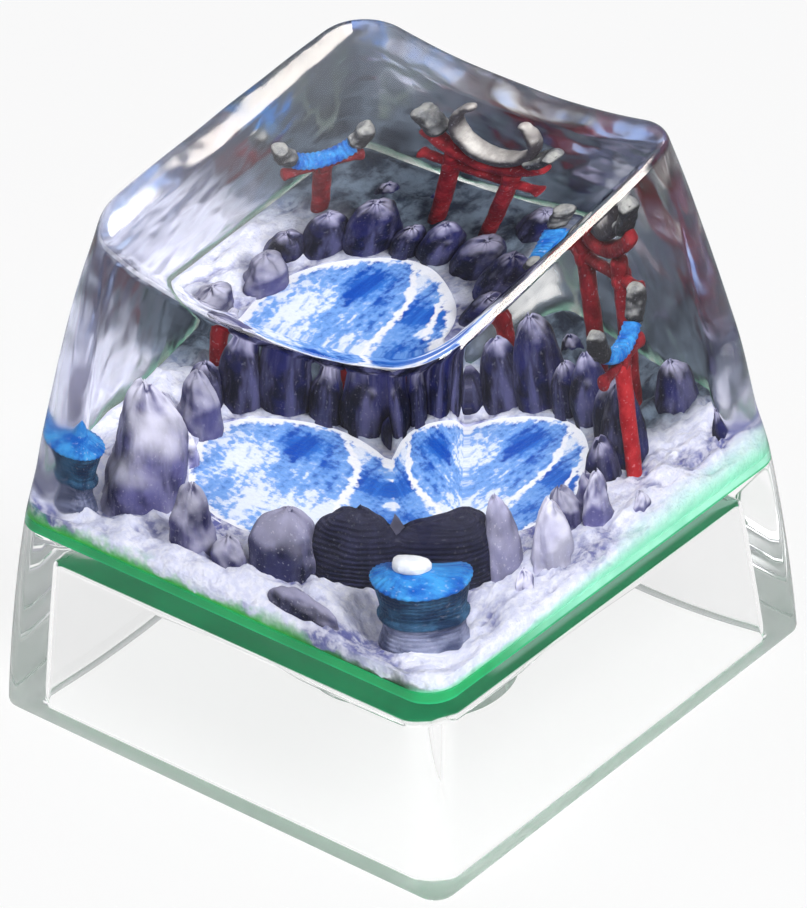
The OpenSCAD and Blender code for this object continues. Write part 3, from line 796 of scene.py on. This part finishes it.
# Each rock is x, y, radius, height, stretch, turn of the stretch, bluntness of its top and shade
BACK_ROCKS = [
    (-5.85, 2.7, 0.75, 2.0, 1.0, 0, 0.68, 0), (-4.9, 3.7, 0.9, 2.7, 1.0, 0, 0.68, 0),
    (-3.45, 4.55, 1.05, 3.5, 1.0, 0, 0.62, 0), (-1.85, 4.75, 0.72, 2.3, 1.0, 0, 0.68, 0),
    (-0.5, 5.05, 0.86, 2.8, 1.0, 0, 0.68, 0), (1.4, 4.95, 0.95, 2.6, 1.2, 0, 0.7, 0),
    (3.3, 4.15, 1.0, 3.3, 1.0, 0, 0.62, 0), (3.9, 2.75, 0.78, 2.2, 1.0, 0, 0.66, 0),
]
REAR_STONES = [
    (2.2, 7.25, 0.8, 2.2, 1.25, -10, 0.7, 0), (6.1, 7.3, 0.55, 1.5, 1.0, 0, 0.6, 0),
    (-2.9, 7.4, 0.4, 1.1, 1.0, 0, 0.6, 0), (-4.9, 6.9, 0.5, 1.3, 1.0, 0, 0.6, 0),
]
LEFT_BOULDERS = [
    (-4.6, -4.4, 1.4, 4.6, 1.25, 42, 0.42, 0.15), (-5.9, -2.5, 0.95, 2.8, 1.1, 42, 0.5, 0),
    (-5.8, -0.9, 0.8, 2.4, 1.0, 0, 0.6, 0.5), (-5.2, 1.05, 0.8, 2.5, 1.0, 0, 0.64, 0.7),
    (-4.6, -1.2, 0.5, 1.6, 1.0, 0, 0.6, 0), (-2.0, -6.2, 0.85, 2.7, 1.15, 42, 0.5, 0.6),
    (-0.4, -6.35, 0.6, 1.6, 1.3, 42, 0.64, 0.6),
]
FRONT_BOULDERS = [
    (1.4, -5.0, 1.1, 2.75, 1.35, 42, 0.62, 0.4), (3.3, -3.6, 1.15, 2.9, 1.5, 40, 0.72, 1.0),
    (4.75, -2.5, 0.8, 3.2, 1.0, 0, 0.52, -0.6), (2.9, -7.15, 0.55, 1.3, 2.6, 0, 0.68, 0.4),
]
RIGHT_ROCKS = [
    (6.3, -1.1, 0.95, 2.7, 1.0, 0, 0.5, -0.8), (5.1, 0.2, 0.75, 2.2, 1.0, 0, 0.6, 0.6),
    (6.1, 1.2, 0.65, 2.4, 1.0, 0, 0.5, 0.3), (4.75, 1.5, 0.55, 1.9, 1.0, 0, 0.64, 0.6),
    (6.9, -2.8, 0.5, 1.3, 1.0, 0, 0.6, 0), (7.1, 2.6, 0.45, 1.2, 1.0, 0, 0.6, 0.3),
]


def add_rock(bm, rock, seed, rugged):
    """A cobble or a peak with its foot in the snow. Rugged ones are fluted and lean out of the plain form."""
    x, y, radius, height, stretch, turn, tip, shade = rock
    before = len(bm.verts)
    sides = 48
    steps = 30
    fall = lerp(1.3, 3.4, (tip - 0.38) / 0.3)
    rotation = Matrix.Rotation(math.radians(turn), 3, "Z")
    lean = 0.22 * radius * Vector((fractal((seed, 0, 0), 1.3), fractal((0, seed, 0), 1.3), 0.0))

    def ring(k):
        t = math.sin(0.5 * math.pi * k / steps)

        def place(i):
            a = 2 * math.pi * i / sides
            way = Vector((math.cos(a), math.sin(a), 0.0))
            reach = 0.98 * radius * max(0.02, 1 - t ** fall) ** 0.55
            spot = Vector((way.x, way.y, 0.7 * t * height / radius))
            lumps = (0.12 + 0.16 * rugged) * fractal(spot, 0.9, seed, 2)
            grooves = 0.08 * rugged * fractal(Vector((2.6 * way.x, 2.6 * way.y, 0.5 * t)), 1.0, seed + 9, 3)
            foot = rotation @ Vector((way.x * stretch, way.y, 0.0))
            sway = Vector((fractal((seed, 1.5 * t), 1.0, 3.0, 2), fractal((1.5 * t, seed), 1.0, 5.0, 2), 0.0))
            p = foot * reach * (1 + lumps + grooves) + lean * t * t
            p += 0.3 * rugged * t * radius * sway
            return Vector((x + p.x, y + p.y, GROUND_Z + 0.03 + (height - 0.03) * t * (1 + 0.5 * lumps * t)))
        return place
    skin(bm, sides, [ring(k) for k in range(steps)])
    layer = bm.verts.layers.float.get("shade") or bm.verts.layers.float.new("shade")
    bm.verts.ensure_lookup_table()
    for v in bm.verts[before:]:
        v[layer] = shade


def make_rocks(name, node, rocks, seed, material, rugged=0.2):
    """A group of rocks as one piece."""
    bm = bmesh.new()
    for number, rock in enumerate(rocks):
        add_rock(bm, rock, seed + 3.7 * number, rugged)
    roughen(bm, 0.03 + 0.03 * rugged, 1.7, seed)
    stand_in(bm, name, node, material, 80)


def sweep(bm, at, spine, half, sides=20, steps=36, power=2.6, dome=0.12):
    """A rounded bar along a spine. spine gives x, z and the slope in degrees for a share of the way, and half
    gives half its thickness and half its depth. Both ends are domed over a share of the length."""
    def ring(k):
        u = (1 - math.cos(math.pi * k / steps)) / 2
        x, z, slope = spine(u)
        end = min(1.0, u / dome, (1 - u) / dome)
        close = max(0.08, 1 - (1 - end) ** 3) ** 0.5
        thick, deep = half(u)

        def place(i):
            a = 2 * math.pi * i / sides
            c = math.copysign(abs(math.cos(a)) ** (2 / power), math.cos(a)) * thick * close
            s = math.copysign(abs(math.sin(a)) ** (2 / power), math.sin(a)) * deep * close
            b = math.radians(slope)
            return at @ Vector((x - c * math.sin(b), s, z + c * math.cos(b)))
        return place
    skin(bm, sides, [ring(k) for k in range(steps + 1)])


def straight(x0, z0, x1, z1):
    """The spine of a straight bar."""
    slope = math.degrees(math.atan2(z1 - z0, x1 - x0))
    return lambda u: (lerp(x0, x1, u), lerp(z0, z1, u), slope)


def arc(radius, centre_z, low, high):
    """The spine of an arc that hangs below its centre, between two angles in degrees from straight down."""
    def spine(u):
        a = lerp(low, high, u)
        return radius * math.sin(math.radians(a)), centre_z - radius * math.cos(math.radians(a)), a
    return spine


def even(thick, deep):
    return lambda u: (thick, deep)


def flared(thick, grow, reach=0.12):
    """A round bar whose two ends swell."""
    def half(u):
        near = max(0.0, 1 - min(u, 1 - u) / reach)
        size = thick + grow * near * near * (3 - 2 * near)
        return size, size
    return half


def gate_place(x, y, turn=0.0):
    return Matrix.Translation((x, y, GROUND_Z)) @ Matrix.Rotation(math.radians(turn), 4, "Z")


MAIN_GATE_AT = gate_place(-0.5, 6.33)
LINTEL_Z = 5.65
LINTEL_HALF = 0.25


def make_main_gate():
    """Two leaning posts, a tie beam with its collars, a hanging lintel and the rough caps on its ends."""
    tie_z = 5.15
    post_x = 1.325
    beam_reach = 2.8
    cap_from = 2.0
    cap_to = 3.1
    curve = 4.0
    centre_z = LINTEL_Z + curve
    bm = bmesh.new()
    for side, lean in ((-1, -0.16), (1, -0.32)):
        x = side * post_x
        z = centre_z - math.sqrt(curve * curve - x * x) - 0.02
        sweep(bm, MAIN_GATE_AT, straight(x + lean, 0.2, x, z), even(0.34, 0.34), 24, 40, 2.0, 0.03)
    roughen(bm, 0.03, 1.6, 2.0)
    stand_in(bm, "main_gate_posts", "torii_posts", red_paint)
    bm = bmesh.new()
    tie = straight(-beam_reach, tie_z, beam_reach, tie_z)
    sweep(bm, MAIN_GATE_AT, tie, flared(0.19, 0.1, 0.07), 24, 60, 2.2, 0.03)
    for side in (-1, 1):
        x = side * post_x
        collar = straight(x - 0.2, tie_z, x + 0.2, tie_z)
        sweep(bm, MAIN_GATE_AT, collar, even(0.34, 0.42), 24, 16, 2.4, 0.25)
    roughen(bm, 0.025, 2.2, 5.0)
    stand_in(bm, "main_gate_tie_beam", "torii_tie_beam", red_paint)
    bm = bmesh.new()
    end = math.degrees(math.asin(beam_reach / curve))
    lintel = arc(curve - LINTEL_HALF, centre_z, -end, end)
    sweep(bm, MAIN_GATE_AT, lintel, even(LINTEL_HALF, 0.3), 24, 60, 3.0, 0.02)
    roughen(bm, 0.03, 1.8, 7.0)
    stand_in(bm, "main_gate_lintel", "torii_lintel", red_paint)
    bm = bmesh.new()
    upper = curve - 2 * LINTEL_HALF
    inner = math.degrees(math.asin(cap_from / upper))
    outer = math.degrees(math.asin(cap_to / upper))
    for low, high in ((-outer, -inner), (inner, outer)):
        cap = arc(upper - 0.25, centre_z, low, high)
        sweep(bm, MAIN_GATE_AT, cap, even(0.26, 0.44), 28, 30, 3.0, 0.18)
    roughen(bm, 0.09, 1.9, 3.0)
    stand_in(bm, "main_gate_caps", "torii_ridge_caps", grey_paint)


def make_moon():
    """A crescent that opens upwards and stands on the lintel, a little right of its middle."""
    moon_r = 1.85
    bite_r = 0.84 * moon_r
    bite_up = 0.22 * moon_r
    horn = 146
    thinnest = 0.17
    at = MAIN_GATE_AT @ Matrix.Translation((0.3, 0.0, LINTEL_Z + 2 * LINTEL_HALF + 0.1 + moon_r))

    def bite_reach(a):
        c = -bite_up * math.cos(math.radians(a))
        return c + math.sqrt(bite_r * bite_r - bite_up * bite_up + c * c)

    def thick(u):
        return max(thinnest, (moon_r - bite_reach(lerp(-horn, horn, u))) / 2)

    def spine(u):
        a = lerp(-horn, horn, u)
        r = moon_r - thick(u)
        return r * math.sin(math.radians(a)), -r * math.cos(math.radians(a)), a

    def half(u):
        return thick(u), lerp(0.18, 0.4, math.sin(math.pi * u) ** 0.6)
    bm = bmesh.new()
    sweep(bm, at, spine, half, 24, 90, 2.4, 0.03)
    roughen(bm, 0.035, 2.0, 4.0)
    stand_in(bm, "moon_crescent", "crescent_moon", moon_paint)


def make_roofed_gate(side, x, y, turn, beam_z, post_paint, seed):
    """A gate of one post, a beam and a blue roof that curves up to rough grey tips."""
    at = gate_place(x, y, turn)
    curve = 1.7
    roof_half = 0.21
    beam_reach = 1.45
    roof_reach = 1.15
    ribs = 11
    tip = 90.0
    centre_z = beam_z + roof_half - 0.06 + curve
    roof_r = curve - roof_half
    bm = bmesh.new()
    sweep(bm, at, straight(0.0, 0.2, 0.0, beam_z), flared(0.33, 0.04, 0.1), 24, 36, 2.0, 0.03)
    roughen(bm, 0.03, 1.6, seed)
    stand_in(bm, side + "_post", side + "_gate_post", post_paint)
    bm = bmesh.new()
    beam = straight(-beam_reach, beam_z, beam_reach, beam_z)
    sweep(bm, at, beam, flared(0.19, 0.11, 0.16), 24, 44, 2.2, 0.06)
    sweep(bm, at, straight(-0.22, beam_z, 0.22, beam_z), even(0.33, 0.41), 24, 14, 2.4, 0.25)
    roughen(bm, 0.025, 2.2, seed + 1)
    stand_in(bm, side + "_beam", side + "_gate_beam", red_paint)
    bm = bmesh.new()
    reach = math.degrees(math.asin(roof_reach / curve))

    def ribbed(u):
        rib = 0.02 * math.cos(2 * math.pi * ribs * u)
        return roof_half + rib, 0.4 + rib
    sweep(bm, at, arc(roof_r, centre_z, -reach, reach), ribbed, 24, 120, 3.2, 0.02)
    stand_in(bm, side + "_roof", side + "_gate_roof", blue_paint)
    bm = bmesh.new()
    for low, high in ((-tip, -reach), (reach, tip)):
        sweep(bm, at, arc(roof_r, centre_z, low, high), even(0.29, 0.42), 24, 28, 2.8, 0.25)
    roughen(bm, 0.08, 2.4, seed + 2)
    stand_in(bm, side + "_tips", side + "_gate_caps", grey_paint)


def turned(bm, x, y, profile, ribs=0, rib_depth=0.0, sides=72):
    """A turned body of a profile, given as radius and height, with ribs down its side."""
    def ring(radius, z):
        def place(i):
            a = 2 * math.pi * i / sides
            r = max(0.02, radius * (1 + rib_depth * math.cos(ribs * a)))
            return Vector((x + r * math.cos(a), y + r * math.sin(a), GROUND_Z + z))
        return place
    skin(bm, sides, [ring(r, z) for r, z in profile])


# Profiles of the lanterns, each point a radius and a height
PEDESTAL = [(0.8, 0.2), (0.84, 0.26), (0.8, 0.45), (0.7, 0.7), (0.67, 0.85), (0.69, 1.0), (0.76, 1.12),
            (0.78, 1.2)]
BOWL = [(0.84, 1.2), (0.88, 1.24), (0.88, 1.34), (0.76, 1.4), (0.78, 1.55), (0.85, 1.8), (0.94, 2.05),
        (0.99, 2.22), (1.03, 2.27), (1.03, 2.4)]
FLAT_ROOF = [(1.04, 2.4), (1.13, 2.42), (1.15, 2.48), (1.13, 2.53), (0.9, 2.66), (0.6, 2.8), (0.4, 2.88),
             (0.34, 2.9)]
KNOB = [(0.32, 2.9), (0.36, 2.93), (0.37, 3.1), (0.34, 3.2), (0.26, 3.28), (0.12, 3.31)]
CONE_ROOF = [(1.04, 2.4), (1.12, 2.42), (1.14, 2.47), (1.1, 2.52), (0.84, 2.64), (0.6, 2.76), (0.44, 2.86),
             (0.38, 2.9)]
CONE = [(0.38, 2.9), (0.33, 2.95), (0.24, 3.08), (0.15, 3.2), (0.08, 3.28), (0.04, 3.32)]


def make_lantern(side, place, top_profile, roof_profile, top_material, seed):
    """A stone lantern: a pedestal, a bowl with a blue rim and a ring, a ribbed roof and what tops it."""
    x, y = place
    bm = bmesh.new()
    turned(bm, x, y, PEDESTAL)
    roughen(bm, 0.04, 1.7, seed)
    stand_in(bm, side + "_pedestal", side + "_lantern_pedestal", slate_paint)
    bm = bmesh.new()
    turned(bm, x, y, BOWL, 36, 0.012, 144)
    stand_in(bm, side + "_bowl", side + "_lantern_bowl", teal_paint)
    bm = bmesh.new()
    turned(bm, x, y, roof_profile, 30, 0.02, 150)
    stand_in(bm, side + "_roof_of_lantern", side + "_lantern_roof", blue_paint)
    bm = bmesh.new()
    turned(bm, x, y, top_profile)
    roughen(bm, 0.02, 3.0, seed + 2)
    stand_in(bm, side + "_top", side + "_lantern_finial", top_material)


LAVENDER = srgb(196, 194, 224)
WHITE_LAVENDER = srgb(226, 225, 244)
# Colours of painted shade on the steep sides of the caps and the moon
STONE_SHADOW = srgb(46, 46, 50)
MOON_SHADOW = srgb(62, 58, 62)
navy_stone = painted_stone(
    "navy_stone", srgb(8, 9, 28), srgb(30, 32, 86), LAVENDER, 0.45, 1.0, 0.72, 0.08)
front_stone = painted_stone(
    "front_stone", srgb(8, 12, 40), srgb(60, 62, 108), LAVENDER, 0.05, 0.85, 0.9, 0.3)
pale_stone = painted_stone(
    "pale_stone", srgb(28, 28, 72), srgb(104, 102, 156), WHITE_LAVENDER, 0.05, 0.8, 1.0)
red_paint = paint("red_paint", srgb(94, 12, 22), srgb(142, 34, 42))
bright_red_paint = paint("bright_red_paint", srgb(150, 14, 26), srgb(188, 44, 50))
grey_paint = paint("grey_paint", srgb(118, 120, 124), srgb(182, 182, 178), depth=0.14, shadow=STONE_SHADOW)
moon_paint = paint("moon_paint", srgb(186, 180, 176), srgb(230, 226, 220), depth=0.08, shadow=MOON_SHADOW)
blue_paint = paint("blue_paint", srgb(14, 92, 186), srgb(66, 158, 226), 0.42, amount=0.25)
slate_paint = paint("slate_paint", srgb(66, 74, 104), srgb(138, 144, 172), lines=0.4)
teal_paint = paint("teal_paint", srgb(20, 46, 78), srgb(56, 98, 132), lines=0.4)
white_paint = paint("white_paint", srgb(226, 230, 238), srgb(250, 250, 252))
cone_paint = paint("cone_paint", srgb(40, 120, 196), srgb(96, 168, 222), 0.42)

make_body()
make_green_layer()
make_snow()
make_pond()
make_rocks("back_stones", "back_rocks", BACK_ROCKS, 11, navy_stone)
make_rocks("far_stones", "rear_stones", REAR_STONES, 31, navy_stone)
make_rocks("left_peaks", "left_boulders", LEFT_BOULDERS, 51, pale_stone, 0.9)
make_rocks("front_peaks", "front_boulders", FRONT_BOULDERS, 71, front_stone, 0.5)
make_rocks("right_stones", "right_rocks", RIGHT_ROCKS, 91, pale_stone, 1.1)
make_main_gate()
make_moon()
make_roofed_gate("left", -6.45, 5.0, 56, 3.8, red_paint, 21.0)
make_roofed_gate("right", 4.8, 3.7, -66, 4.7, bright_red_paint, 27.0)
make_lantern("left", LEFT_LANTERN_AT, CONE, CONE_ROOF, cone_paint, 33.0)
make_lantern("front", FRONT_LANTERN_AT, KNOB, FLAT_ROOF, white_paint, 37.0)


# Studio. A hair of air lies between the floor and the rim
FLOOR_GAP = 0.03
FLOOR_WHITE = 0.85
MIRRORED_FLOOR = 0.2
LIGHT_BOUNCES = 32
# The direction of the right edge of the top, and how far along it the strip light lies
TOP_EDGE = (0.0, 0.988, 0.153)
STRIP_AT = 0.524
STRIP_LIGHT = (22.0, 20.5, 19.0, 1.0)
SKY = ((1.0, 1.0, 1.0, 1.0), (0.4, 0.4, 0.45, 1.0))
ROOM = ((0.12, 0.12, 0.14, 1.0), (1.7, 1.7, 1.75, 1.0))
AMBIENT = (0.25, 0.25, 0.27, 1.0)
LAMP_AIM = Vector((0.0, 0.0, 8.0))


def mirror_rays(tree, path):
    """1 for rays that a glossy surface has mirrored and not let through."""
    rest = math_node(tree, "SUBTRACT", path.outputs["Is Glossy Ray"], path.outputs["Is Transmission Ray"])
    return math_node(tree, "GREATER_THAN", rest, 0.5)


def make_floor():
    """White to the camera and through the resin, darker in what the outside mirrors, plain to other light."""
    bm = bmesh.new()
    bmesh.ops.create_grid(bm, x_segments=1, y_segments=1, size=2.0)
    mesh = bpy.data.meshes.new("studio_floor")
    bm.to_mesh(mesh)
    bm.free()
    floor = bpy.data.objects.new("studio_floor", mesh)
    bpy.context.scene.collection.objects.link(floor)
    floor.location.z = -FLOOR_GAP * MM
    material, tree, shader = new_material("studio_floor")
    shader.inputs["Base Color"].default_value = (0.9, 0.9, 0.9, 1.0)
    shader.inputs["Roughness"].default_value = 0.9
    shader.inputs["Specular IOR Level"].default_value = 0.0
    white = tree.nodes.new("ShaderNodeEmission")
    path = tree.nodes.new("ShaderNodeLightPath")
    seen = most(tree, path.outputs["Is Camera Ray"], path.outputs["Is Transmission Ray"])
    mirrored = mirror_rays(tree, path)
    level = math_node(tree, "SUBTRACT", 1.0, times(tree, mirrored, 1 - MIRRORED_FLOOR))
    link(tree, level, white.inputs["Strength"])
    mix = tree.nodes.new("ShaderNodeMixShader")
    link(tree, times(tree, most(tree, seen, mirrored), FLOOR_WHITE), mix.inputs[0])
    link(tree, shader.outputs["BSDF"], mix.inputs[1])
    link(tree, white.outputs[0], mix.inputs[2])
    link(tree, mix.outputs[0], tree.nodes["Material Output"].inputs["Surface"])
    mesh.materials.append(material)


def make_world():
    """White near the horizon to the camera and through the resin. The outside mirrors a dim room with a soft
    light overhead. Other light is plain."""
    world = bpy.data.worlds.new("studio")
    bpy.context.scene.world = world
    world.use_nodes = True
    tree = world.node_tree
    background = tree.nodes["Background"]
    place = tree.nodes.new("ShaderNodeTexCoord")
    split = tree.nodes.new("ShaderNodeSeparateXYZ")
    link(tree, place.outputs["Generated"], split.inputs[0])
    height = split.outputs["Z"]
    sky = blend(tree, step_up(tree, height, 0.45, 0.85), *SKY)
    room = blend(tree, step_up(tree, height, 0.66, 0.92), *ROOM)
    across = tree.nodes.new("ShaderNodeVectorMath")
    across.operation = "DOT_PRODUCT"
    across.inputs[1].default_value = TOP_EDGE
    link(tree, place.outputs["Generated"], across.inputs[0])
    off = math_node(tree, "ABSOLUTE", math_node(tree, "SUBTRACT", across.outputs["Value"], STRIP_AT), 0.0)
    strip = times(tree, step_up(tree, off, 0.2, 0.14), step_up(tree, split.outputs["X"], 0.0, 0.2))
    room = blend(tree, strip, room, STRIP_LIGHT)
    path = tree.nodes.new("ShaderNodeLightPath")
    look = blend(tree, mirror_rays(tree, path), sky, room)
    looks = most(tree, path.outputs["Is Glossy Ray"], path.outputs["Is Transmission Ray"])
    looks = most(tree, looks, path.outputs["Is Camera Ray"])
    before_matt = math_node(tree, "LESS_THAN", path.outputs["Diffuse Depth"], 0.5)
    looks = times(tree, looks, before_matt)
    link(tree, blend(tree, looks, AMBIENT, look), background.inputs["Color"])
    background.inputs["Strength"].default_value = 1.0


def make_lamp(name, place, size, watts):
    """A square soft lamp that faces the cap, its place and size in millimetres."""
    data = bpy.data.lights.new(name, "AREA")
    data.size = size * MM
    data.energy = watts
    lamp = bpy.data.objects.new(name, data)
    bpy.context.scene.collection.objects.link(lamp)
    turn = (LAMP_AIM - Vector(place)).to_track_quat("-Z", "Y").to_matrix().to_4x4()
    lamp.matrix_world = Matrix.Translation(Vector(place) * MM) @ turn


def make_camera():
    """The camera that was fitted to the corners of the cap in the photograph, its places in millimetres."""
    azimuth = math.radians(42.405)
    elevation = math.radians(33.548)
    roll = math.radians(-3.906)
    distance = 194.948
    focal_pixels = 6309.581
    photo_height = 908
    target = Vector((0.33, 0.295, 7.882))
    level = math.cos(elevation)
    back = Vector((math.sin(azimuth) * level, -math.cos(azimuth) * level, math.sin(elevation)))
    right = (-back).cross(Vector((0.0, 0.0, 1.0))).normalized()
    up = right.cross(-back)
    camera_x = math.cos(roll) * right + math.sin(roll) * up
    camera_y = -math.sin(roll) * right + math.cos(roll) * up
    data = bpy.data.cameras.new("camera")
    data.sensor_width = 36.0
    data.lens = data.sensor_width * focal_pixels / photo_height
    data.clip_start = 0.01
    data.clip_end = 10.0
    camera = bpy.data.objects.new("camera", data)
    bpy.context.scene.collection.objects.link(camera)
    turn = Matrix((camera_x, camera_y, back)).transposed().to_4x4()
    camera.matrix_world = Matrix.Translation((target + distance * back) * MM) @ turn
    bpy.context.scene.camera = camera


make_floor()
make_world()
make_lamp("key_lamp", (170.0, -50.0, 180.0), 90.0, 0.46)
make_lamp("fill_lamp", (-135.0, -154.0, 150.0), 100.0, 0.11)
make_camera()
bpy.context.scene.view_settings.view_transform = "Standard"
bpy.context.scene.cycles.max_bounces = LIGHT_BOUNCES
bpy.context.scene.cycles.glossy_bounces = LIGHT_BOUNCES
bpy.context.scene.cycles.transmission_bounces = LIGHT_BOUNCES
